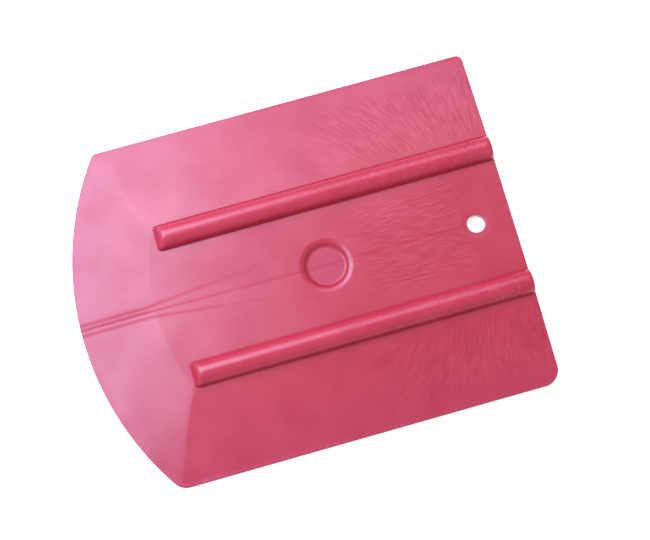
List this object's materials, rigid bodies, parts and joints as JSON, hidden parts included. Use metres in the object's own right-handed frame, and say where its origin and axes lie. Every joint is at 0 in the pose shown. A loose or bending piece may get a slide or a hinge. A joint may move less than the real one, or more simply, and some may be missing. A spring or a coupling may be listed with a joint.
{
  "type": "squeegee applicator",
  "caption": "Flat hand squeegee with a bowed, tapered working edge, half-round stiffening ribs, a round recess and a hanging hole, for pressing down vinyl film.",
  "frame": {"origin": "centre of the bounding rectangle of the flat underside, on the underside", "axes": "+Y runs from the bowed working edge to the rear edge, where the hanging hole is; +Z points out of the ribbed face; +X points to the right-hand side edge as seen from the working edge, the side with the rounder corners"},
  "size_m": [0.1, 0.127, 0.0065],
  "materials": {
    "blade_plastic": "satin"
  },
  "bodies": {
    "root": {"blade_plate": "blade_plastic", "left_rib": "blade_plastic", "right_rib": "blade_plastic"}
  },
  "joints": []
}
